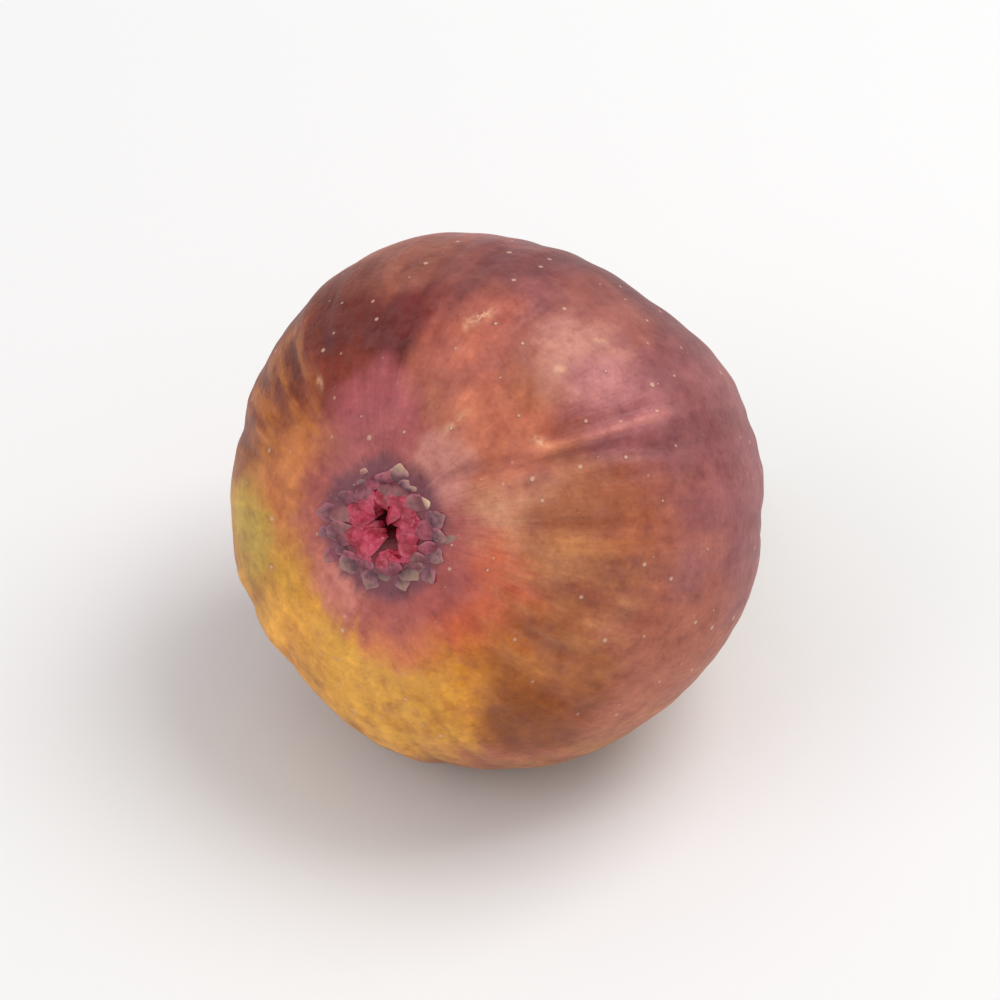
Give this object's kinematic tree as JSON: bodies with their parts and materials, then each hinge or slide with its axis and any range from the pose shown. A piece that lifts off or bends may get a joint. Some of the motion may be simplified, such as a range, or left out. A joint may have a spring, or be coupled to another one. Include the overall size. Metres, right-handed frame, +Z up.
{
  "type": "fresh fig",
  "caption": "Whole fresh fig as picked, lying on its side: round body with a sunken eye, a short neck and a stub of stalk.",
  "frame": {"origin": "bottom centre of the fig's bounding box, on the surface that it lies on", "axes": "+Z up; -Y is the way the eye looks, which is raised 32 degrees above it; +Y is the way the stalk runs"},
  "size_m": [0.0578, 0.0662, 0.0541],
  "materials": {
    "skin": "thin smooth skin with a waxy bloom, mottled from reddish mauve to golden yellow",
    "eye_scales": "small moist crimson scales with pale dry tips",
    "stalk": "dull green-brown bark with a pale cut end"
  },
  "bodies": {
    "root": {"fig": "skin"}
  },
  "joints": []
}
